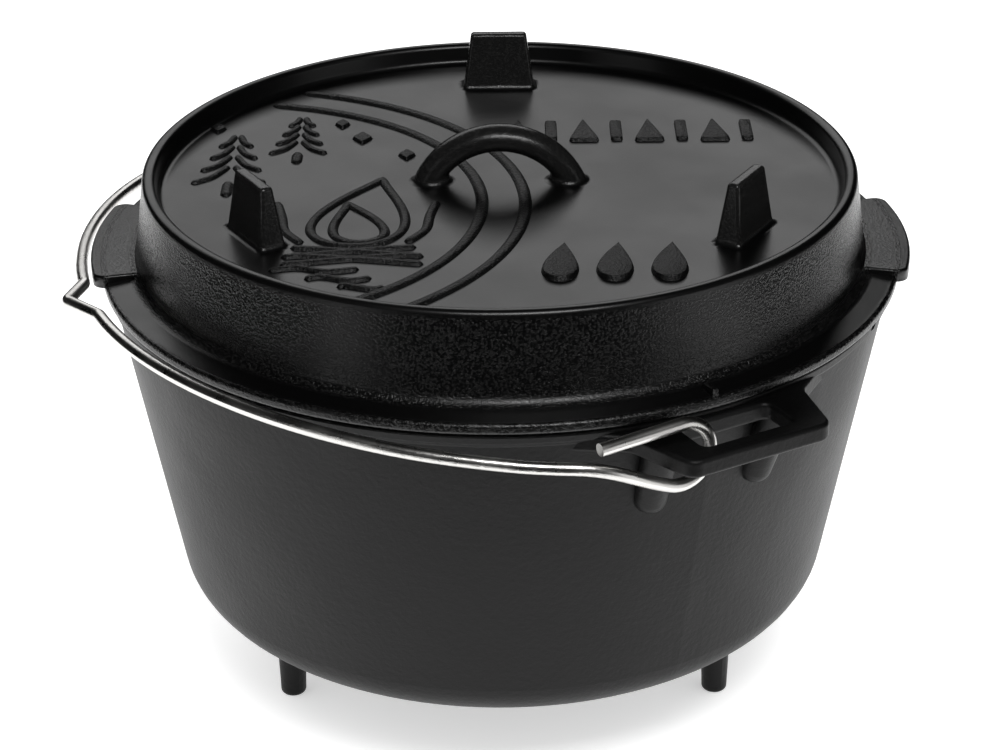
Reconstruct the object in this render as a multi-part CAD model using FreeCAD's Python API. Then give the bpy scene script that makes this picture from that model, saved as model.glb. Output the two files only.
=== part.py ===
"""Cast iron dutch oven: a footed pot with two loop ears, a deep rimmed lid that
stands on its own feet when turned over, and a wire bail hooked round the ears.

Millimetres.  Z up, floor at Z = 0 under the leg tips, origin on the pot's axis.
+X runs along the line through both ears, which is also the bail's hinge direction.
The bail lies down towards -Y.  Every polar angle is measured from +X about +Z.
"""
import FreeCAD, Part
import math
import os

V = FreeCAD.Vector

# ---------------------------------------------------------------- driving sizes
RIM_R = 157.5            # pot's outer wall line at the rim
RIM_Z = 177.0            # top of the pot
BASE_R = 132.0           # pot's outer wall line carried down to the underside
BASE_Z = 37.0            # underside of the pot
WALL = 4.6
FLOOR = 5.6
CORNER_R = 20.0          # outer radius between wall and underside

LIP_OUT = 1.6            # how far the rim's band stands out of the wall
LIP_TALL = 6.0
LIP_ROUND = 1.4

LEG_COUNT = 3
LEG_PITCH_R = 101.5
LEG_FIRST = 30.0
LEG_TIP_R = 5.2
LEG_TOP_R = 6.4
LEG_TIP_ROUND = 2.0
LEG_ROOT_ROUND = 4.0

EAR_BOTTOM = 167.0
EAR_THICK = 7.2
EAR_REACH = 186.0        # outer face of the ear's bar
EAR_TIP_HALF = 30.4
EAR_ROOT_HALF = 38.0
EAR_ROOT_X = 157.5
EAR_ROOT_R = 9.0
EAR_HEEL_X = 140.2       # ends of the ear's plate, buried in the pot's wall
EAR_HEEL_HALF = 63.5
EAR_CORNER_R = 6.0
EAR_EDGE_ROUND = 1.6
SLOT_INNER_X = 160.8
SLOT_OUTER_X = 177.6
SLOT_HALF = 19.5
SLOT_CORNER_R = 3.0

RIB_R = 6.6              # half-round buttress under each end of an ear
RIB_OFFSET = 23.5
RIB_BOTTOM = 135.0
RIB_SINK = 0.5           # buttress axis inside the wall line at its lower end
RIB_STAND = 6.5          # and outside it where it meets the ear

NOTCH_ANGLE = 35.0       # probe notch in the pot's rim
NOTCH_WIDE = 5.0
NOTCH_DEEP = 7.0

SEAT_GAP = 0.4           # space left between the lid's flange and the pot's rim
FLANGE_R = 160.5
FLANGE_THICK = 4.2
LEDGE_RISE = 1.2         # slope of the ledge from the flange edge up to the wall
LID_WALL_R = 147.0       # lid's outer wall line where it meets the ledge
LID_TOP_R = 142.4        # lid's outer wall line at the top rim
LID_TOP_Z = 217.6
LID_RIM_WIDE = 4.8
DECK_Z = 209.1
DECK_THICK = 4.8
DECK_R = 136.2           # inner wall of the recess at the deck
LID_WALL = 4.6
LEDGE_FILLET = 5.5
SPIGOT_OUTER_R = 151.6   # ring under the lid that drops inside the pot's mouth
SPIGOT_WIDE = 4.2
SPIGOT_DEEP = 5.0

TAB_R = 164.4
TAB_BOW_R = 140.0        # curve of the tab's outer edge
TAB_ANGLES = (60.0, 240.0)
TAB_HALF_ANGLE = 13.4
TAB_RISE = 2.0           # tab's top above the ledge
TAB_THICK = 5.0
TAB_CORNER_R = 5.0
TAB_EDGE_ROUND = 1.1

TICK_ANGLE = -1.0        # index mark on the ledge
TICK_LONG = 7.0
TICK_WIDE = 2.4
TICK_TALL = 2.2

FOOT_PITCH_R = 108.3
FOOT_FIRST = 30.0
FOOT_TOP_Z = 233.2
FOOT_BASE_DEEP = 11.4
FOOT_BASE_WIDE = 31.0
FOOT_TOP_DEEP = 5.0
FOOT_TOP_WIDE = 23.8
FOOT_ROUND = 1.6
FOOT_ROOT_ROUND = 2.6

ARCH_ANGLE = 60.0        # the loop's feet stand on this line across the deck
ARCH_HALF_SPAN = 29.0
ARCH_RISE = 18.4         # centre line above the deck at mid span
ARCH_HALF_DEEP = 6.4
ARCH_HALF_TALL = 5.5

HINGE_Z = EAR_BOTTOM + EAR_THICK / 2.0 - 0.2
HINGE_Y = -25.9
HINGE_X = 172.5          # plane of each hook
REST_TILT = 4.2          # how far above level the bail rests, degrees
WIRE_R = 2.5
HOOK_R = 12.2
HOOK_ARM_SLOPE = 18.0
HOOK_TAIL_SLOPE = 6.0
HOOK_TAIL_LONG = 34.0
BAIL_MIDDLE_R = 168.0    # bail's distance from the pot's axis opposite the hinge
BAIL_SPREAD = 15.0       # and how much wider it stands as it nears the ears
BAIL_SPREAD_POWER = 3.0
BAIL_JOIN_ANGLE = 22.0   # from the hinge direction, where the curve meets the hook's arm
BAIL_SPANS = 9           # runs of the curve on each side of the kink
JOIN_HANDLE = 16.0
KINK_ANGLE = 257.0       # the kink sits a little off the wire's middle
KINK_HALF = 16.0
KINK_LEAD = 5.0
KINK_DEEP = 9.5
KINK_SHOULDER_R = 5.0
KINK_TIP_R = 3.6

MERGE = 2.0              # overlap that makes neighbouring bodies of a casting fuse


# ---------------------------------------------------------------- small helpers
def polar(radius, angle, z=0.0):
    return V(radius * math.cos(math.radians(angle)), radius * math.sin(math.radians(angle)), z)


def rounded_wire(corners, closed=True):
    """Straight runs through the corners, each corner (point, radius) turned by an arc."""
    count = len(corners)
    arcs = []
    for index, (point, radius) in enumerate(corners):
        if radius <= 0.0 or (not closed and index in (0, count - 1)):
            arcs.append((point, None, point))
            continue
        before = (corners[index - 1][0] - point).normalize()
        after = (corners[(index + 1) % count][0] - point).normalize()
        half = before.getAngle(after) / 2.0
        reach = radius / math.tan(half)
        inward = (before + after).normalize()
        middle = point + inward * (radius / math.sin(half) - radius)
        arcs.append((point + before * reach, middle, point + after * reach))
    edges = []
    for index, (start, middle, end) in enumerate(arcs):
        if middle is not None:
            edges.append(Part.Arc(start, middle, end).toShape())
        if index == count - 1 and not closed:
            break
        following = arcs[(index + 1) % count][0]
        if (following - end).Length > 1e-6:
            edges.append(Part.makeLine(end, following))
    return Part.Wire(edges)


def revolved(section):
    """Solid of revolution about Z from (radius, z, corner radius) points."""
    wire = rounded_wire([(V(r, 0.0, z), round_r) for r, z, round_r in section])
    return Part.Face(wire).revolve(V(0, 0, 0), V(0, 0, 1), 360.0)


def slab(corners, z, thickness):
    """Flat plate from (x, y, corner radius) points."""
    wire = rounded_wire([(V(x, y, z), round_r) for x, y, round_r in corners])
    return Part.Face(wire).extrude(V(0, 0, thickness))


def turned(shape, angle):
    copy = shape.copy()
    copy.rotate(V(0, 0, 0), V(0, 0, 1), angle)
    return copy


def fused(shapes):
    return shapes[0].multiFuse(shapes[1:]).removeSplitter()


def softened(shape, radius, wanted):
    """Round the edges that the test picks out."""
    edges = [edge for edge in shape.Edges if wanted(edge)]
    return shape.makeFillet(radius, edges)


def reaches(edge, radius):
    return any(math.hypot(vertex.X, vertex.Y) > radius for vertex in edge.Vertexes)


def level_edge(edge, z):
    return all(abs(vertex.Z - z) < 1e-4 for vertex in edge.Vertexes) and abs(edge.BoundBox.ZLength) < 1e-4


# ---------------------------------------------------------------- pot casting
def wall_radius(z):
    return BASE_R + (RIM_R - BASE_R) * (z - BASE_Z) / (RIM_Z - BASE_Z)


def pot_bowl():
    floor_z = BASE_Z + FLOOR
    lip_z = RIM_Z - LIP_TALL
    return revolved([
        (0.0, BASE_Z, 0.0),
        (BASE_R, BASE_Z, CORNER_R),
        (wall_radius(lip_z), lip_z, LIP_ROUND),
        (wall_radius(lip_z) + LIP_OUT, lip_z + LIP_OUT, LIP_ROUND),
        (RIM_R + LIP_OUT, RIM_Z, LIP_ROUND),
        (RIM_R - WALL, RIM_Z, LIP_ROUND),
        (wall_radius(floor_z) - WALL, floor_z, CORNER_R - WALL),
        (0.0, floor_z, 0.0),
    ])


def leg(angle):
    top = BASE_Z + MERGE
    body = Part.makeCone(LEG_TIP_R, LEG_TOP_R, top, polar(LEG_PITCH_R, angle))
    return softened(body, LEG_TIP_ROUND, lambda edge: level_edge(edge, 0.0))


def ear():
    plate = slab([
        (EAR_HEEL_X, -EAR_HEEL_HALF, 0.0),
        (EAR_ROOT_X, -EAR_ROOT_HALF, EAR_ROOT_R),
        (EAR_REACH, -EAR_TIP_HALF, EAR_CORNER_R),
        (EAR_REACH, EAR_TIP_HALF, EAR_CORNER_R),
        (EAR_ROOT_X, EAR_ROOT_HALF, EAR_ROOT_R),
        (EAR_HEEL_X, EAR_HEEL_HALF, 0.0),
    ], EAR_BOTTOM, EAR_THICK)
    slot = slab([
        (SLOT_INNER_X, -SLOT_HALF, SLOT_CORNER_R),
        (SLOT_OUTER_X, -SLOT_HALF, SLOT_CORNER_R),
        (SLOT_OUTER_X, SLOT_HALF, SLOT_CORNER_R),
        (SLOT_INNER_X, SLOT_HALF, SLOT_CORNER_R),
    ], EAR_BOTTOM - MERGE, EAR_THICK + 2.0 * MERGE)
    body = plate.cut(slot)

    def rim_of_plate(edge):
        flat = abs(edge.BoundBox.ZLength) < 1e-4
        return flat and edge.BoundBox.XMax > RIM_R + LIP_OUT

    return softened(body, EAR_EDGE_ROUND, rim_of_plate)


def rib(offset):
    """Half-round buttress that stands further out as it climbs, its lower end domed."""
    foot_z = RIB_BOTTOM + RIB_R
    start = V(wall_radius(foot_z) - RIB_SINK, 0.0, foot_z)
    climb = V(wall_radius(EAR_BOTTOM) + RIB_STAND, 0.0, EAR_BOTTOM + EAR_THICK / 2.0) - start
    pole = V(0.0, 0.0, -RIB_R)
    dome_end = V(-RIB_R, 0.0, 0.0)
    halfway = (pole + dome_end) * (1.0 / math.sqrt(2.0))
    top = V(0.0, 0.0, climb.Length)
    section = Part.Wire([
        Part.Arc(pole, halfway, dome_end).toShape(),
        Part.makeLine(dome_end, dome_end + top),
        Part.makeLine(dome_end + top, top),
        Part.makeLine(top, pole),
    ])
    body = Part.Face(section).revolve(V(0, 0, 0), V(0, 0, 1), 360.0)
    body.rotate(V(0, 0, 0), V(0, 1, 0), math.degrees(math.atan2(climb.x, climb.z)))
    body.translate(start)
    return turned(body, math.degrees(math.asin(offset / wall_radius(foot_z))))


def notch_cutter():
    """Slot open at the top of the rim, closing to a rounded point below."""
    half = NOTCH_WIDE / 2.0
    shape = rounded_wire([
        (V(0, -half, RIM_Z + MERGE), 0.0),
        (V(0, -half, RIM_Z - NOTCH_DEEP / 2.0), 1.5),
        (V(0, 0, RIM_Z - NOTCH_DEEP - 1.0), 1.4),
        (V(0, half, RIM_Z - NOTCH_DEEP / 2.0), 1.5),
        (V(0, half, RIM_Z + MERGE), 0.0),
    ])
    cutter = Part.Face(shape).extrude(V(4.0 * WALL, 0, 0))
    cutter.translate(V(RIM_R - 2.5 * WALL, 0, 0))
    return turned(cutter, NOTCH_ANGLE)


def wall_core():
    """Everything inside the middle of the wall, used to trim what the ears and ribs push through it."""
    middle = WALL / 2.0
    return Part.makeCone(BASE_R - middle, RIM_R - middle, RIM_Z - BASE_Z, V(0, 0, BASE_Z))


def pot():
    step = 360.0 / LEG_COUNT
    legs = [leg(LEG_FIRST + index * step) for index in range(LEG_COUNT)]
    body = fused([pot_bowl()] + legs)
    body = softened(body, LEG_ROOT_ROUND, lambda edge: level_edge(edge, BASE_Z) and edge.Length < 60.0)
    loop = ear()
    side = [loop, rib(-RIB_OFFSET), rib(RIB_OFFSET)]
    sides = side + [turned(piece, 180.0) for piece in side]
    body = fused([body] + [piece.cut(wall_core()) for piece in sides])
    return body.cut(notch_cutter())


# ---------------------------------------------------------------- lid casting
FLANGE_Z = RIM_Z + SEAT_GAP
FLANGE_TOP = FLANGE_Z + FLANGE_THICK
LEDGE_Z = FLANGE_TOP + LEDGE_RISE
TAB_TOP = LEDGE_Z + TAB_RISE
UNDER_DECK = DECK_Z - DECK_THICK
SPIGOT_INNER_R = SPIGOT_OUTER_R - SPIGOT_WIDE


def lid_shell():
    rim_round = LID_RIM_WIDE / 2.0 - 0.05
    return revolved([
        (0.0, UNDER_DECK, 0.0),
        (LID_TOP_R - LID_WALL, UNDER_DECK, 8.0),
        (SPIGOT_INNER_R - 3.0, FLANGE_Z - 1.0, 3.0),
        (SPIGOT_INNER_R, FLANGE_Z - SPIGOT_DEEP, 1.2),
        (SPIGOT_OUTER_R, FLANGE_Z - SPIGOT_DEEP, 1.6),
        (SPIGOT_OUTER_R, FLANGE_Z, 0.8),
        (FLANGE_R, FLANGE_Z, 1.4),
        (FLANGE_R, FLANGE_TOP, 1.8),
        (LID_WALL_R, LEDGE_Z, LEDGE_FILLET),
        (LID_TOP_R, LID_TOP_Z, rim_round),
        (LID_TOP_R - LID_RIM_WIDE, LID_TOP_Z, rim_round),
        (DECK_R, DECK_Z, 2.6),
        (0.0, DECK_Z, 0.0),
    ])


def tab(angle):
    """Thicker pad on the ledge that reaches out past the flange for a lifter or a gloved hand."""
    across = math.sin(math.radians(TAB_HALF_ANGLE))
    along = math.cos(math.radians(TAB_HALF_ANGLE))
    inner = LID_WALL_R - MERGE
    plate = slab([
        (inner * along, -inner * across, 0.0),
        (TAB_R * along, -TAB_R * across, TAB_CORNER_R),
        (TAB_R / along, 0.0, TAB_BOW_R),
        (TAB_R * along, TAB_R * across, TAB_CORNER_R),
        (inner * along, inner * across, 0.0),
    ], TAB_TOP - TAB_THICK, TAB_THICK)
    plate = softened(plate, TAB_EDGE_ROUND, lambda edge: level_edge(edge, TAB_TOP) and reaches(edge, FLANGE_R))
    return turned(plate, angle)


def foot(angle):
    """Wedge that tapers to a narrow rounded top, wide side across the radius."""
    def level(deep, wide, z):
        half_deep = deep / 2.0
        half_wide = wide / 2.0
        return rounded_wire([
            (V(FOOT_PITCH_R - half_deep, -half_wide, z), FOOT_ROUND),
            (V(FOOT_PITCH_R + half_deep, -half_wide, z), FOOT_ROUND),
            (V(FOOT_PITCH_R + half_deep, half_wide, z), FOOT_ROUND),
            (V(FOOT_PITCH_R - half_deep, half_wide, z), FOOT_ROUND),
        ])

    base_z = DECK_Z - MERGE
    body = Part.makeLoft([level(FOOT_BASE_DEEP, FOOT_BASE_WIDE, base_z),
                          level(FOOT_TOP_DEEP, FOOT_TOP_WIDE, FOOT_TOP_Z)], True, True)
    body = softened(body, FOOT_ROUND, lambda edge: level_edge(edge, FOOT_TOP_Z))
    return turned(body, angle)


def arch():
    """Low finger loop: an oval bar bent over the deck's middle."""
    sagitta_r = (ARCH_HALF_SPAN ** 2 + ARCH_RISE ** 2) / (2.0 * ARCH_RISE)
    centre_z = DECK_Z + ARCH_RISE - sagitta_r
    dip = math.asin((ARCH_HALF_SPAN + MERGE) / sagitta_r)

    def point(angle):
        return V(sagitta_r * math.sin(angle), 0.0, centre_z + sagitta_r * math.cos(angle))

    path = Part.Wire(Part.Arc(point(-dip), point(0.0), point(dip)).toShape())
    start = point(-dip)
    tangent = V(math.cos(dip), 0.0, math.sin(dip))
    across = V(0, 1, 0)
    oval = Part.Ellipse(start + across * ARCH_HALF_DEEP,
                        start + across.cross(tangent) * ARCH_HALF_TALL, start)
    body = path.makePipeShell([Part.Wire(oval.toShape())], True, True)
    return turned(body, ARCH_ANGLE)


def tick():
    start = LID_WALL_R + LEDGE_FILLET
    bar = Part.makeBox(TICK_LONG, TICK_WIDE, TICK_TALL + MERGE, V(start, -TICK_WIDE / 2.0, LEDGE_Z - MERGE))
    bar = softened(bar, 1.0, lambda edge: level_edge(edge, LEDGE_Z + TICK_TALL))
    return turned(bar, TICK_ANGLE)


def lid():
    step = 360.0 / LEG_COUNT
    feet = [foot(FOOT_FIRST + index * step) for index in range(LEG_COUNT)]
    body = fused([lid_shell()] + feet + [arch()])
    body = softened(body, FOOT_ROOT_ROUND,
                    lambda edge: level_edge(edge, DECK_Z) and edge.BoundBox.DiagonalLength < 60.0)
    return fused([body, tick()] + [tab(angle) for angle in TAB_ANGLES])


# ---------------------------------------------------------------- wire bail
def bail_curve(angle):
    """Bail's centre line by polar angle: nearly round in the middle, wider towards the ears."""
    spread = abs(math.cos(math.radians(angle))) ** BAIL_SPREAD_POWER
    return polar(BAIL_MIDDLE_R + BAIL_SPREAD * spread, angle, HINGE_Z)


def bail_run(angle):
    """Unit direction of the curve at an angle, pointing the way the angle grows."""
    step = 0.05
    return (bail_curve(angle + step) - bail_curve(angle - step)).normalize()


def curve_edge(start, end):
    """Smooth edge along the bail's curve between two polar angles."""
    points = [bail_curve(start + (end - start) * index / BAIL_SPANS) for index in range(BAIL_SPANS + 1)]
    spline = Part.BSplineCurve()
    spline.interpolate(Points=points, InitialTangent=bail_run(start), FinalTangent=bail_run(end))
    return spline.toShape()


def hook_edges(side):
    """Tail, half turn round the ear's root, and the arm that climbs to the bail's plane."""
    def at(angle):
        return V(side * HINGE_X, HINGE_Y - HOOK_R * math.cos(math.radians(angle)),
                 HINGE_Z + HOOK_R * math.sin(math.radians(angle)))

    top = at(90.0 - HOOK_TAIL_SLOPE)
    bottom = at(-90.0 + HOOK_ARM_SLOPE)
    droop = math.radians(HOOK_TAIL_SLOPE)
    tail = top + V(0, -math.cos(droop), -math.sin(droop)) * HOOK_TAIL_LONG
    climb = math.radians(HOOK_ARM_SLOPE)
    leave = V(0, -math.cos(climb), math.sin(climb))
    join_angle = -BAIL_JOIN_ANGLE if side > 0 else 180.0 + BAIL_JOIN_ANGLE
    join = bail_curve(join_angle)
    arrive = bail_run(join_angle) * side
    blend = Part.BezierCurve()
    blend.setPoles([bottom, bottom + leave * JOIN_HANDLE, join + arrive * JOIN_HANDLE, join])
    turn = Part.Arc(top, at(180.0), bottom).toShape()
    return [Part.makeLine(tail, top), turn, blend.toShape()]


def kink_edges():
    """Pointed kink where a chain hook or a finger stays put, and the angles where it starts and ends."""
    half_angle = math.degrees((KINK_HALF + KINK_LEAD) / BAIL_MIDDLE_R)
    first = KINK_ANGLE - half_angle
    last = KINK_ANGLE + half_angle
    corner_a = bail_curve(first) + bail_run(first) * KINK_LEAD
    corner_b = bail_curve(last) - bail_run(last) * KINK_LEAD
    tip = (corner_a + corner_b) * 0.5 + polar(KINK_DEEP, KINK_ANGLE)
    wire = rounded_wire([(bail_curve(first), 0.0), (corner_a, KINK_SHOULDER_R), (tip, KINK_TIP_R),
                         (corner_b, KINK_SHOULDER_R), (bail_curve(last), 0.0)], closed=False)
    return wire.Edges, first, last


def bail():
    kink, first, last = kink_edges()
    near = hook_edges(1.0)
    far = hook_edges(-1.0)
    curves = [curve_edge(180.0 + BAIL_JOIN_ANGLE, first), curve_edge(last, 360.0 - BAIL_JOIN_ANGLE)]
    path = Part.Wire(Part.__sortEdges__(near + far + curves + kink))
    start = near[0].Vertexes[0].Point
    run = near[0].Vertexes[1].Point - start
    circle = Part.Wire(Part.makeCircle(WIRE_R, start, run))
    wire = path.makePipeShell([circle], True, False)
    wire.rotate(V(0, HINGE_Y, HINGE_Z), V(1, 0, 0), -REST_TILT)
    return wire


# ---------------------------------------------------------------- files
def main():
    os.makedirs("parts", exist_ok=True)
    for name, shape in (("pot", pot()), ("lid", lid()), ("bail_handle", bail())):
        shape.exportStep("parts/" + name + ".step")
        print(name, shape.ShapeType, len(shape.Solids), shape.isValid(), round(shape.Volume / 1000.0, 1), "cm3")


main()
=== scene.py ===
"""Looks of the cast iron dutch oven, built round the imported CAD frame.  Metres, +Z up."""
import math

import bmesh
import bpy
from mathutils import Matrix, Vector


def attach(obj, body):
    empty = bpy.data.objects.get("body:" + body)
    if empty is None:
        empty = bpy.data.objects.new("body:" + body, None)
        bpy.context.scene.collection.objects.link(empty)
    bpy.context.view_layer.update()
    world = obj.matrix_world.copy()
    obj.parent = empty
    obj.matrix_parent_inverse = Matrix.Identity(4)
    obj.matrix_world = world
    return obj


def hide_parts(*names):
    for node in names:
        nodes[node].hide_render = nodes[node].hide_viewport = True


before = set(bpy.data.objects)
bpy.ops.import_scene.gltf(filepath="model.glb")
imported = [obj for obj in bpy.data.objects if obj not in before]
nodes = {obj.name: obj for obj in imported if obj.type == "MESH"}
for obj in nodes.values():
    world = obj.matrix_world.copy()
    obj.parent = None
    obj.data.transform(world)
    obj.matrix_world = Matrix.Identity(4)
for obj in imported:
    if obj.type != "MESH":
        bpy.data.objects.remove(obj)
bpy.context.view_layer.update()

MM = 0.001
DECK_Z = 209.1 * MM                  # top of the lid's recessed deck
DECK_R = 136.2 * MM                  # and its radius at the foot of the raised rim
VIEW_ANGLE = math.radians(60.0)      # turn of the axes across and away from the camera about +Z

# ---------------------------------------------------------------- camera
CAMERA_AT = (0.8961, -0.5180, 0.6378)
CAMERA_TURN = (63.495, 0.416, 59.793)
CAMERA_LENS = 100.14
CAMERA_SENSOR = 36.0
CAMERA_REACH = 50.0

camera_data = bpy.data.cameras.new("camera")
camera_data.lens = CAMERA_LENS
camera_data.sensor_width = CAMERA_SENSOR
camera_data.clip_end = CAMERA_REACH
camera = bpy.data.objects.new("camera", camera_data)
camera.location = CAMERA_AT
camera.rotation_euler = [math.radians(a) for a in CAMERA_TURN]
bpy.context.scene.collection.objects.link(camera)
bpy.context.scene.camera = camera


# ---------------------------------------------------------------- material helper
class Shader:
    """Small builder for node materials: every helper returns an output socket."""

    def __init__(self, name):
        self.material = bpy.data.materials.new(name)
        self.material.use_nodes = True
        self.tree = self.material.node_tree
        self.bsdf = self.tree.nodes["Principled BSDF"]
        self.place = self.node("ShaderNodeTexCoord").outputs["Object"]

    def node(self, kind, **settings):
        made = self.tree.nodes.new(kind)
        for key, value in settings.items():
            setattr(made, key, value)
        return made

    def feed(self, socket, value):
        if isinstance(value, bpy.types.NodeSocket):
            self.tree.links.new(value, socket)
        elif value is not None:
            socket.default_value = value

    def noise(self, scale, detail=3.0, rough=0.55):
        """Cloudy value from 0 to 1 in the object's own space; scale is in features per metre."""
        made = self.node("ShaderNodeTexNoise")
        self.feed(made.inputs["Vector"], self.place)
        self.feed(made.inputs["Scale"], scale)
        self.feed(made.inputs["Detail"], detail)
        self.feed(made.inputs["Roughness"], rough)
        return made.outputs["Fac"]

    def math(self, operation, a, b=None, clamp=False):
        made = self.node("ShaderNodeMath", operation=operation, use_clamp=clamp)
        self.feed(made.inputs[0], a)
        self.feed(made.inputs[1], b)
        return made.outputs[0]

    def ramp(self, value, low, high, out_low=0.0, out_high=1.0):
        """Smooth step from out_low at low to out_high at high; low may be the larger of the two."""
        made = self.node("ShaderNodeMapRange", interpolation_type="SMOOTHSTEP")
        self.feed(made.inputs["Value"], value)
        self.feed(made.inputs["From Min"], low)
        self.feed(made.inputs["From Max"], high)
        self.feed(made.inputs["To Min"], out_low)
        self.feed(made.inputs["To Max"], out_high)
        return made.outputs["Result"]

    def blend(self, factor, a, b):
        made = self.node("ShaderNodeMix", data_type="FLOAT")
        self.feed(made.inputs["Factor"], factor)
        self.feed(made.inputs["A"], a)
        self.feed(made.inputs["B"], b)
        return made.outputs["Result"]

    def tint(self, factor, a, b):
        made = self.node("ShaderNodeMix", data_type="RGBA")
        self.feed(made.inputs[0], factor)
        self.feed(made.inputs[6], (*a, 1.0))
        self.feed(made.inputs[7], (*b, 1.0))
        return made.outputs[2]

    def radius_and_height(self):
        """Distance from the pot's axis, and height above the floor, in metres."""
        split = self.node("ShaderNodeSeparateXYZ")
        self.feed(split.inputs[0], self.place)
        x, y, z = split.outputs
        squares = [self.math("MULTIPLY", side, side) for side in (x, y)]
        return self.math("SQRT", self.math("ADD", *squares)), z

    def bump(self, height, distance, below=None):
        """Relief of the given depth in metres, on top of an earlier one where there is one."""
        made = self.node("ShaderNodeBump")
        self.feed(made.inputs["Height"], height)
        self.feed(made.inputs["Distance"], distance)
        self.feed(made.inputs["Strength"], 1.0)
        self.feed(made.inputs["Normal"], below)
        return made.outputs["Normal"]

    def finish(self, color, roughness, normal, **constants):
        """Join the sockets to the surface; constants are the same all over and set on it directly."""
        self.feed(self.bsdf.inputs["Base Color"], color)
        self.feed(self.bsdf.inputs["Roughness"], roughness)
        self.feed(self.bsdf.inputs["Normal"], normal)
        for key, value in constants.items():
            self.bsdf.inputs[key.replace("_", " ")].default_value = value
        return self.material


# ---------------------------------------------------------------- finishes
IRON_DARK = (0.0012, 0.0012, 0.00125)
IRON_LIGHT = (0.0030, 0.0030, 0.0031)
# Lighter iron: partly cast grain on the lid's pebbles, partly painted sheen standing in for light caught by
# its feet and loop.
IRON_GRAIN_AND_SHEEN = (0.018, 0.0178, 0.0174)
STEEL_DARK = (0.62, 0.61, 0.59)
STEEL_LIGHT = (0.74, 0.73, 0.71)
FLOOR_DARK = (0.86, 0.86, 0.86)
FLOOR_LIGHT = (0.88, 0.88, 0.88)

# Depth of the lid's cast skin in millimetres: on the dressed flats, the wall and edges, the feet and loop.
PEBBLE_FLAT, PEBBLE_WALL, PEBBLE_RAISED = 0.004, 0.085, 0.022
GRIT_FLAT, GRIT_WALL, GRIT_RAISED = 0.010, 0.05, 0.03


def pot_iron():
    """Seasoned cast iron, satin, with a fine even grain over a slow swell."""
    shader = Shader("pot_iron")
    grain = shader.noise(1500.0, 4.0, 0.6)
    coarse = shader.noise(420.0, 2.0, 0.5)
    cloud = shader.noise(16.0, 3.0, 0.55)
    swell = shader.noise(28.0, 1.0, 0.4)
    normal = shader.bump(swell, 0.45 * MM)
    normal = shader.bump(coarse, 0.16 * MM, normal)
    normal = shader.bump(grain, 0.075 * MM, normal)
    color = shader.tint(shader.ramp(cloud, 0.35, 0.7), IRON_DARK, IRON_LIGHT)
    roughness = shader.ramp(cloud, 0.3, 0.7, 0.42, 0.49)
    return shader.finish(color, roughness, normal, Specular_IOR_Level=0.21)


def lid_iron():
    """One casting: pebbled wall and edges, finer feet and finger loop, smooth deck and ledge."""
    shader = Shader("lid_iron")
    radius, height = shader.radius_and_height()
    below_rim = shader.ramp(height, 216.5 * MM, 214.0 * MM)
    above_ledge = shader.ramp(height, 183.5 * MM, 186.0 * MM)
    on_wall = shader.math("MULTIPLY", below_rim, above_ledge)
    on_wall = shader.math("MULTIPLY", on_wall, shader.ramp(radius, 139.5 * MM, 141.5 * MM))
    at_rim = shader.math("MULTIPLY", shader.ramp(radius, 158.0 * MM, 159.2 * MM),
                         shader.ramp(radius, 161.6 * MM, 160.9 * MM))
    at_root = shader.math("MULTIPLY", shader.ramp(radius, 146.4 * MM, 147.2 * MM),
                          shader.ramp(radius, 151.5 * MM, 149.0 * MM))
    on_edge = shader.math("ADD", at_rim, at_root, clamp=True)
    raised = shader.math("MULTIPLY", shader.ramp(height, 209.6 * MM, 211.0 * MM),
                         shader.ramp(radius, 134.0 * MM, 131.0 * MM))
    grainy = shader.math("MAXIMUM", shader.math("MAXIMUM", on_wall, raised), on_edge)
    pebble = shader.ramp(shader.noise(1050.0, 2.0, 0.5), 0.46, 0.66)
    grit = shader.noise(1700.0, 2.0, 0.6)
    swell = shader.noise(34.0, 1.0, 0.4)
    cloud = shader.noise(22.0, 3.0, 0.55)
    normal = shader.bump(swell, 0.35 * MM)
    pebble_depth = shader.blend(raised, shader.blend(grainy, PEBBLE_FLAT, PEBBLE_WALL), PEBBLE_RAISED)
    pebble_rise = shader.math("MULTIPLY", pebble, pebble_depth)
    normal = shader.bump(pebble_rise, 1.0 * MM, normal)
    grit_depth = shader.blend(raised, shader.blend(grainy, GRIT_FLAT, GRIT_WALL), GRIT_RAISED)
    grit_rise = shader.math("MULTIPLY", grit, grit_depth)
    normal = shader.bump(grit_rise, 1.0 * MM, normal)
    # Painted sheen: pebble tops on the wall and edges are tinted lighter, partly cast grain and partly
    # painted glint; the feet and finger loop get a lighter speckled tint as painted light that they catch.
    wall_grain_and_sheen = shader.math("MULTIPLY", pebble, shader.math("MULTIPLY", grainy, 0.34))
    raised_painted_sheen = shader.ramp(pebble, 0.0, 1.0, 0.22, 0.46)
    grain_and_sheen = shader.blend(raised, wall_grain_and_sheen, raised_painted_sheen)
    color = shader.tint(grain_and_sheen, IRON_DARK, IRON_GRAIN_AND_SHEEN)
    roughness = shader.blend(grainy, shader.ramp(cloud, 0.3, 0.7, 0.29, 0.34), 0.27)
    return shader.finish(color, roughness, normal, Specular_IOR_Level=0.42)


def relief_iron():
    """Rough cast iron of the raised decoration."""
    shader = Shader("relief_iron")
    grit = shader.noise(1700.0, 3.0, 0.6)
    pebble = shader.noise(900.0, 2.0, 0.6)
    normal = shader.bump(pebble, 0.55 * MM)
    normal = shader.bump(grit, 0.15 * MM, normal)
    color = shader.tint(shader.noise(60.0), IRON_DARK, IRON_LIGHT)
    return shader.finish(color, shader.ramp(grit, 0.3, 0.7, 0.30, 0.40), normal, Specular_IOR_Level=0.3)


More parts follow.
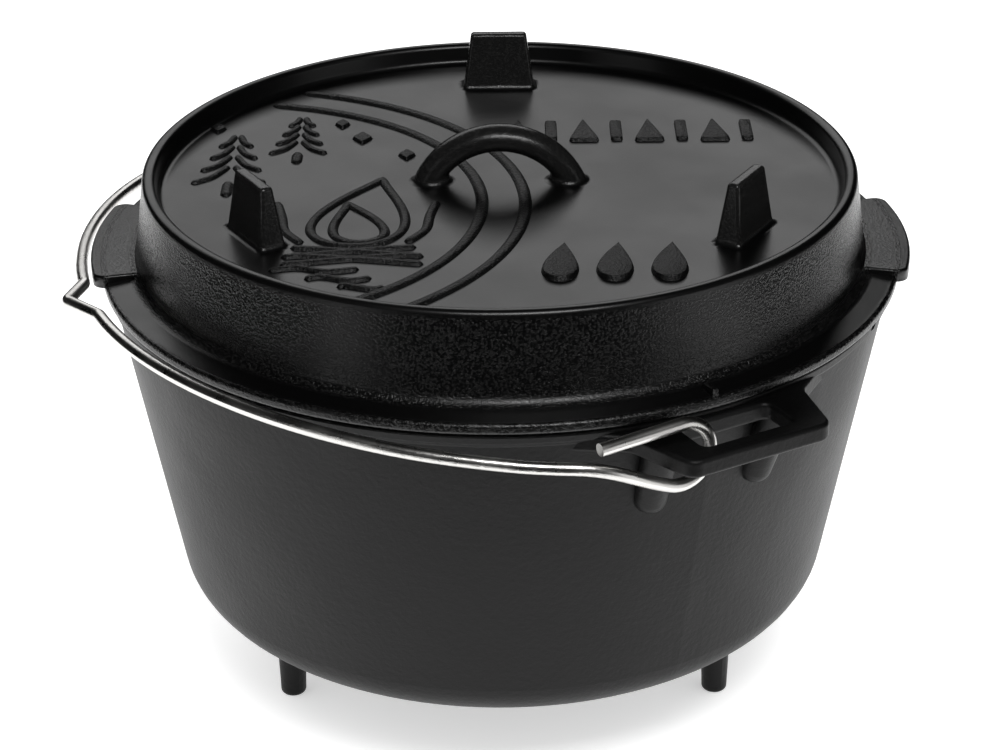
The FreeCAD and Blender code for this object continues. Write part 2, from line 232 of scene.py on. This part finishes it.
def bail_wire():
    """Bright drawn steel with faint drawing marks and smears."""
    shader = Shader("bail_wire")
    drawn = shader.noise(900.0, 3.0, 0.6)
    smear = shader.noise(60.0, 2.0, 0.5)
    normal = shader.bump(drawn, 0.012 * MM)
    color = shader.tint(smear, STEEL_DARK, STEEL_LIGHT)
    return shader.finish(color, shader.ramp(smear, 0.3, 0.7, 0.26, 0.34), normal, Metallic=1.0)


def wear(obj, material):
    """Put a material in every slot that the object has, or in a first one."""
    if not obj.material_slots:
        obj.data.materials.append(material)
    for slot in obj.material_slots:
        slot.material = material


wear(nodes["pot"], pot_iron())
wear(nodes["bail_handle"], bail_wire())

# ---------------------------------------------------------------- floor and light
TABLE_SIDE = 0.72         # white light table round the pot: half its width across the view
TABLE_NEAR = 0.36         # and how far it reaches in front of the pot and behind it
TABLE_FAR = 1.2
TABLE_GLOW = 0.45


def floor_white():
    shader = Shader("floor_white")
    tone = shader.noise(3.0, 2.0, 0.5)
    color = shader.tint(tone, FLOOR_DARK, FLOOR_LIGHT)
    shader.bsdf.inputs["Emission Color"].default_value = (1.0, 1.0, 1.0, 1.0)
    shader.bsdf.inputs["Emission Strength"].default_value = TABLE_GLOW
    return shader.finish(color, 0.8, None, Specular_IOR_Level=0.1)


def deck_point(across, away, height=0.0):
    """Point from the view's own axes: across to the camera's right, and away from the camera."""
    cos, sin = math.cos(VIEW_ANGLE), math.sin(VIEW_ANGLE)
    return Vector((across * cos - away * sin, across * sin + away * cos, height))


floor_mesh = bpy.data.meshes.new("floor")
corners = [(-TABLE_SIDE, -TABLE_NEAR), (TABLE_SIDE, -TABLE_NEAR),
           (TABLE_SIDE, TABLE_FAR), (-TABLE_SIDE, TABLE_FAR)]
floor_mesh.from_pydata([deck_point(*corner) for corner in corners], [], [(0, 1, 2, 3)])
floor_mesh.materials.append(floor_white())
floor = bpy.data.objects.new("floor", floor_mesh)
bpy.context.scene.collection.objects.link(floor)


LIGHT_CENTRE = Vector((0.0, 0.0, 0.12))


def softbox(name, azimuth, elevation, distance, size, power):
    """Area light on a sphere round the pot; azimuth 0 is the camera's side, growing to its right."""
    data = bpy.data.lights.new(name, "AREA")
    data.shape = "RECTANGLE"
    data.size, data.size_y = size
    data.energy = power
    light = bpy.data.objects.new(name, data)
    turn = math.radians(azimuth)
    tilt = math.radians(elevation)
    away = deck_point(math.sin(turn) * math.cos(tilt), -math.cos(turn) * math.cos(tilt), math.sin(tilt))
    light.location = LIGHT_CENTRE + away * distance
    light.rotation_euler = (-away).to_track_quat("-Z", "Y").to_euler()
    bpy.context.scene.collection.objects.link(light)


softbox("light_key", 12.0, 50.0, 1.4, (0.7, 0.32), 9.0)
softbox("light_left", -46.0, 2.0, 1.5, (0.36, 0.8), 1.0)
softbox("light_right", 60.0, 2.0, 1.5, (0.7, 0.8), 1.8)
softbox("light_back", 191.0, 31.0, 2.2, (2.05, 0.8), 8.4)

AMBIENT = 1.05
world = bpy.data.worlds.new("studio")
bpy.context.scene.world = world
world.use_nodes = True
background = world.node_tree.nodes["Background"]
background.inputs["Color"].default_value = (1.0, 1.0, 1.0, 1.0)
background.inputs["Strength"].default_value = AMBIENT
world.cycles_visibility.glossy = False      # the iron mirrors the soft boxes and the table, not an even haze
bpy.context.scene.view_settings.view_transform = "Standard"

# ---------------------------------------------------------------- lid casting, refined from the CAD lid
# Section of the lid in millimetres: (radius, height, corner radius), the same as the CAD body's.
LID_SECTION = [
    (0.0, 204.3, 0.0), (137.8, 204.3, 8.0), (144.4, 176.4, 3.0), (147.4, 172.4, 1.2), (151.6, 172.4, 1.6),
    (151.6, 177.4, 0.8), (160.5, 177.4, 1.4), (160.5, 181.6, 1.8), (147.0, 182.8, 5.5),
    (142.4, 217.6, 2.35), (137.6, 217.6, 2.35), (136.2, 209.1, 2.6), (0.0, 209.1, 0.0)]
TURNS = 600
ARC_STEP = 7.0            # degrees between points round a corner of the section
WELD = 1e-6
SHARP_ANGLE = math.radians(35.0)
ON_SECTION = 0.03 * MM    # a CAD vertex this close to the section belongs to the turned body
FACET_SAG = 0.45 * MM     # how far the middle of a long CAD facet lies off the true curve
SINK = 1.0 * MM           # how far the kept pieces' cut edges reach into the turned body


def rounded_section(corners):
    """Points along the section with every corner turned by an arc, open at both ends on the axis."""
    found = [Vector(corners[0][:2])]
    for before, corner, after in zip(corners, corners[1:], corners[2:]):
        point = Vector(corner[:2])
        back = (Vector(before[:2]) - point).normalized()
        ahead = (Vector(after[:2]) - point).normalized()
        half = back.angle(ahead) / 2.0
        centre = point + (back + ahead).normalized() * (corner[2] / math.sin(half))
        start = point + back * (corner[2] / math.tan(half)) - centre
        end = point + ahead * (corner[2] / math.tan(half)) - centre
        turn = math.pi - 2.0 * half
        if start.x * end.y - start.y * end.x < 0.0:
            turn = -turn
        pieces = max(3, round(abs(math.degrees(turn)) / ARC_STEP))
        for index in range(pieces + 1):
            angle = turn * index / pieces
            found.append(centre + Vector((start.x * math.cos(angle) - start.y * math.sin(angle),
                                          start.x * math.sin(angle) + start.y * math.cos(angle))))
    found.append(Vector(corners[-1][:2]))
    return [point * MM for point in found]


def off_section(co, section):
    """Distance from a point to the section, measured in its own half plane."""
    point = Vector((math.hypot(co.x, co.y), co.z))
    best = 1.0
    for start, end in zip(section, section[1:]):
        run = end - start
        share = min(1.0, max(0.0, (point - start).dot(run) / max(run.length_squared, 1e-12)))
        best = min(best, (start + run * share - point).length)
    return best


def lid_casting(material):
    """The turned body at full smoothness, with the feet, loop, tabs and mark taken from the CAD lid."""
    section = rounded_section(LID_SECTION)
    build = bmesh.new()
    build.from_mesh(nodes["lid"].data)
    bmesh.ops.remove_doubles(build, verts=build.verts, dist=WELD)
    on_body = {vert for vert in build.verts if off_section(vert.co, section) < ON_SECTION}
    plain = [face for face in build.faces
             if all(vert in on_body for vert in face.verts)
             and off_section(face.calc_center_median(), section) < FACET_SAG]
    bmesh.ops.delete(build, geom=plain, context="FACES")
    edges = [edge for edge in build.edges if edge.is_boundary]
    grown = bmesh.ops.extrude_edge_only(build, edges=edges)["geom"]
    for vert in (item for item in grown if isinstance(item, bmesh.types.BMVert)):
        radius = math.hypot(vert.co.x, vert.co.y)
        if radius < DECK_R:
            vert.co.z -= SINK
        else:
            vert.co.xy *= (radius - SINK) / radius
            vert.co.z -= 0.3 * SINK
    bmesh.ops.holes_fill(build, edges=[edge for edge in build.edges if edge.is_boundary], sides=0)

    rings = []
    for point in section[1:-1]:
        ring = []
        for index in range(TURNS):
            angle = 2.0 * math.pi * index / TURNS
            ring.append(build.verts.new((point.x * math.cos(angle), point.x * math.sin(angle), point.y)))
        rings.append(ring)
    for lower, upper in zip(rings, rings[1:]):
        for index in range(TURNS):
            after = (index + 1) % TURNS
            build.faces.new((lower[index], lower[after], upper[after], upper[index]))
    build.faces.new(list(reversed(rings[0])))
    build.faces.new(rings[-1])
    mesh = bpy.data.meshes.new("lid_casting")
    build.to_mesh(mesh)
    build.free()
    for polygon in mesh.polygons:
        polygon.use_smooth = True
    mesh.set_sharp_from_angle(angle=SHARP_ANGLE)
    mesh.materials.clear()
    mesh.materials.append(material)
    made = bpy.data.objects.new("lid_casting", mesh)
    bpy.context.scene.collection.objects.link(made)
    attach(made, "lid")
    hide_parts("lid")
    return made


lid_casting(lid_iron())

# ---------------------------------------------------------------- raised decoration on the deck
# A plain camp scene of our own: a double ring, a fire between fir trees, and two rows of simple shapes.
RIDGE_SECTION = [(-1.45, -0.45), (-1.25, -0.02), (-1.02, 0.30), (-0.78, 0.78), (-0.42, 0.98), (0.0, 1.03),
                 (0.42, 0.98), (0.78, 0.78), (1.02, 0.30), (1.25, -0.02), (1.45, -0.45)]
RIDGE_STEP = 1.1
CURVE_PARTS = 16
BLUNT_END = 0.18          # share of a ridge's size left at its very tip
RING_CENTRE = (-118.0, -24.0)
RING_RADII = (111.0, 128.0)
DECK_CLEAR_R = 131.0


def smooth_path(points, closed=False):
    """Evenly spaced points on a Catmull-Rom curve through the given ones."""
    count = len(points)
    spans = count if closed else count - 1
    dense = []
    for span in range(spans):
        picks = []
        for offset in (-1, 0, 1, 2):
            index = span + offset
            picks.append(points[index % count] if closed else points[min(max(index, 0), count - 1)])
        a, b, c, d = (Vector(pick) for pick in picks)
        for part in range(CURVE_PARTS):
            t = part / CURVE_PARTS
            dense.append(0.5 * (2.0 * b + (c - a) * t + (2.0 * a - 5.0 * b + 4.0 * c - d) * t ** 2
                                + (3.0 * b - a - 3.0 * c + d) * t ** 3))
    dense.append(Vector(points[0] if closed else points[-1]))
    lengths = [0.0]
    for before, after in zip(dense, dense[1:]):
        lengths.append(lengths[-1] + (after - before).length)
    pieces = max(4, round(lengths[-1] / RIDGE_STEP))
    even = []
    at = 0
    for index in range(pieces + (0 if closed else 1)):
        wanted = lengths[-1] * index / pieces
        while at < len(lengths) - 2 and lengths[at + 1] < wanted:
            at += 1
        share = (wanted - lengths[at]) / max(lengths[at + 1] - lengths[at], 1e-9)
        even.append(dense[at].lerp(dense[at + 1], share))
    return even


class Relief:
    """Collects ridges and flat pads in millimetres on the deck, then makes one mesh of them."""

    def __init__(self):
        self.build = bmesh.new()

    def place(self, point, height):
        return self.build.verts.new(deck_point(point.x * MM, point.y * MM, DECK_Z + height * MM))

    def ridge(self, points, half=1.7, tall=1.3, closed=False, taper=2.4):
        path = smooth_path(points, closed)
        count = len(path)
        total = RIDGE_STEP * count
        rings = []
        for index, point in enumerate(path):
            before = path[index - 1] if closed or index else path[0]
            after = path[(index + 1) % count] if closed or index < count - 1 else path[-1]
            run = (after - before).normalized()
            side = Vector((-run.y, run.x))
            size = 1.0
            if not closed:
                end = min(index, count - 1 - index) * RIDGE_STEP / min(taper, total / 2.0)
                size = math.sqrt(max(0.0, 1.0 - (1.0 - min(end, 1.0)) ** 2))
                size = size * (1.0 - BLUNT_END) + BLUNT_END
            rings.append([self.place(point + side * (x * half * size), z * tall * (size if z > 0.0 else 1.0))
                          for x, z in RIDGE_SECTION])
        width = len(RIDGE_SECTION)
        for index in range(count if closed else count - 1):
            here, there = rings[index], rings[(index + 1) % count]
            for k in range(width):
                self.build.faces.new((here[k], there[k], there[(k + 1) % width], here[(k + 1) % width]))
        if not closed:
            self.build.faces.new(rings[0])
            self.build.faces.new(list(reversed(rings[-1])))

    def pad(self, outline, tall=1.7, round_width=0.8):
        """Flat raised shape with sloped sides and a rounded top edge; outline runs anticlockwise."""
        path = [Vector(point) for point in outline]
        count = len(path)
        centre = sum(path, Vector((0.0, 0.0))) / count
        levels = [(0.75, -0.5), (0.45, 0.0), (0.15, 0.25 * tall), (-0.15 * round_width, 0.72 * tall),
                  (-0.5 * round_width, 0.94 * tall), (-round_width, tall)]
        loops = [[self.place(point + (point - centre).normalized() * out, height) for point in path]
                 for out, height in levels]
        for lower, upper in zip(loops, loops[1:]):
            for index in range(count):
                after = (index + 1) % count
                self.build.faces.new((lower[index], lower[after], upper[after], upper[index]))
        self.build.faces.new(loops[-1])
        self.build.faces.new(list(reversed(loops[0])))

    def finish(self, name, material):
        bmesh.ops.recalc_face_normals(self.build, faces=self.build.faces)
        mesh = bpy.data.meshes.new(name)
        self.build.to_mesh(mesh)
        self.build.free()
        for polygon in mesh.polygons:
            polygon.use_smooth = True
        mesh.materials.append(material)
        made = bpy.data.objects.new(name, mesh)
        bpy.context.scene.collection.objects.link(made)
        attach(made, "lid")
        return made


def arc_points(centre, radius, start, end, count):
    """Points of an arc, angles in degrees."""
    found = []
    for index in range(count):
        angle = math.radians(start + (end - start) * index / (count - 1))
        found.append((centre[0] + radius * math.cos(angle), centre[1] + radius * math.sin(angle)))
    return found


def flame_outline(centre, wide, tall, sway, count=28):
    """Drop shape with its tip up, leaning by sway at the tip."""
    found = []
    for index in range(count):
        turn = 2.0 * math.pi * index / count
        rise = 0.5 * (1.0 + math.cos(turn))
        across = -0.5 * wide * math.sin(turn) * math.sin(turn / 2.0) ** 1.3 * 1.25
        found.append((centre[0] + across + sway * rise ** 2, centre[1] + tall * (rise - 0.5)))
    return found


def fir(relief, centre, wide, tall, tiers):
    """Fir tree of drooping branches, wider towards the ground, with a short trunk."""
    x, y = centre
    for tier in range(tiers):
        share = (tier + 1.0) / tiers
        half = 0.5 * wide * (0.30 + 0.70 * share)
        top = y + tall * (1.0 - 0.80 * tier / tiers)
        drop = tall * (0.20 + 0.12 * share)
        for side in (-1.0, 1.0):
            relief.ridge([(x + side * 1.2, top), (x + side * half * 0.45, top - drop * 0.62),
                          (x + side * half, top - drop)], half=1.35, tall=1.2)
    relief.ridge([(x, y + 0.10 * tall), (x, y - 0.04 * tall), (x, y - 0.16 * tall)], half=1.9, tall=1.2)


def inside_deck(points):
    return [point for point in points if math.hypot(*point) < DECK_CLEAR_R]


def camp_ring(material):
    """Two arcs of a ring, cut off where the deck ends."""
    relief = Relief()
    for radius in RING_RADII:
        points = inside_deck(arc_points(RING_CENTRE, radius, -89.0, 98.0, 90))
        relief.ridge(points, half=2.1, tall=1.25, taper=5.0)
    return relief.finish("relief_ring", material)


def camp_scene(material):
    """A fire on crossed logs between two licks of flame, two fir trees, four sparks, strokes of ground."""
    relief = Relief()
    fire = (-56.0, -32.0)
    relief.ridge(flame_outline(fire, 40.0, 66.0, 9.0), closed=True)
    relief.ridge(flame_outline((fire[0] + 2.0, fire[1] - 11.0), 22.0, 38.0, -6.0), closed=True)
    for side, lean in ((-1.0, -7.0), (1.0, 6.0)):
        base = (fire[0] + side * 25.0, fire[1] - 12.0)
        relief.ridge([(base[0] - side * 5.0, base[1] - 18.0), (base[0] + side * 2.0, base[1] - 6.0),
                      (base[0] + lean * 0.6, base[1] + 8.0), (base[0] + lean, base[1] + 22.0)])
    for side in (-1.0, 1.0):
        for row in range(2):
            low = (fire[0] + side * 27.0, fire[1] - 50.0 + row * 7.0)
            high = (fire[0] - side * 24.0, fire[1] - 41.0 + row * 7.0)
            middle = ((low[0] + high[0]) / 2.0, (low[1] + high[1]) / 2.0 + 0.4)
            relief.ridge([low, middle, high], half=1.6)
    fir(relief, (-109.0, -6.0), 30.0, 56.0, 4)
    fir(relief, (-83.0, 26.0), 24.0, 44.0, 4)
    sparks = (((-57.0, 46.0), 4.2), ((-66.0, 62.0), 3.2), ((-38.0, 27.0), 3.6), ((-118.0, 58.0), 3.4))
    for centre, size in sparks:
        diamond(relief, centre, size, size * 1.4)
    for row in range(3):
        across = -70.0 + row * 9.0
        away = -88.0 - row * 8.0
        relief.ridge([(across - 17.0 + row * 5.0, away + 1.0), (across - 6.0, away + 3.2),
                      (across + 5.0, away - 0.4), (across + 17.0 - row * 4.0, away + 2.0)], half=1.5)
    return relief.finish("relief_scene", material)


def diamond(relief, centre, half_wide, half_tall):
    x, y = centre
    corners = [(x + half_wide, y), (x, y + half_tall), (x - half_wide, y), (x, y - half_tall)]
    relief.pad(rounded_outline(corners, 1.0), 1.3, 0.6)


def rounded_outline(corners, radius, steps=4):
    """Outline with every corner cut to a quadratic curve; corners run anticlockwise."""
    count = len(corners)
    found = []
    for index in range(count):
        corner = Vector(corners[index])
        before = (Vector(corners[index - 1]) - corner).normalized() * radius + corner
        after = (Vector(corners[(index + 1) % count]) - corner).normalized() * radius + corner
        for step in range(steps + 1):
            t = step / steps
            found.append(before * (1.0 - t) ** 2 + corner * (2.0 * t * (1.0 - t)) + after * t ** 2)
    return found


def camp_rows(material):
    """Bars and triangles in turn on the far side, and three drops on the near side."""
    relief = Relief()
    for index in range(8):
        x = 8.0 + index * 13.6
        if index % 2:
            corners = [(x - 2.4, 42.0), (x + 2.4, 42.0), (x + 2.4, 62.0), (x - 2.4, 62.0)]
            relief.pad(rounded_outline(corners, 1.4), 1.5)
        else:
            corners = [(x - 6.4, 41.0), (x + 6.4, 41.0), (x, 64.0)]
            relief.pad(rounded_outline(corners, 2.0), 1.5)
    for index in range(3):
        relief.pad(flame_outline((22.0 + index * 20.5, -82.0), 15.0, 32.0, 2.5), 2.0, 0.9)
    return relief.finish("relief_rows", material)


relief_material = relief_iron()
camp_ring(relief_material)
camp_scene(relief_material)
camp_rows(relief_material)
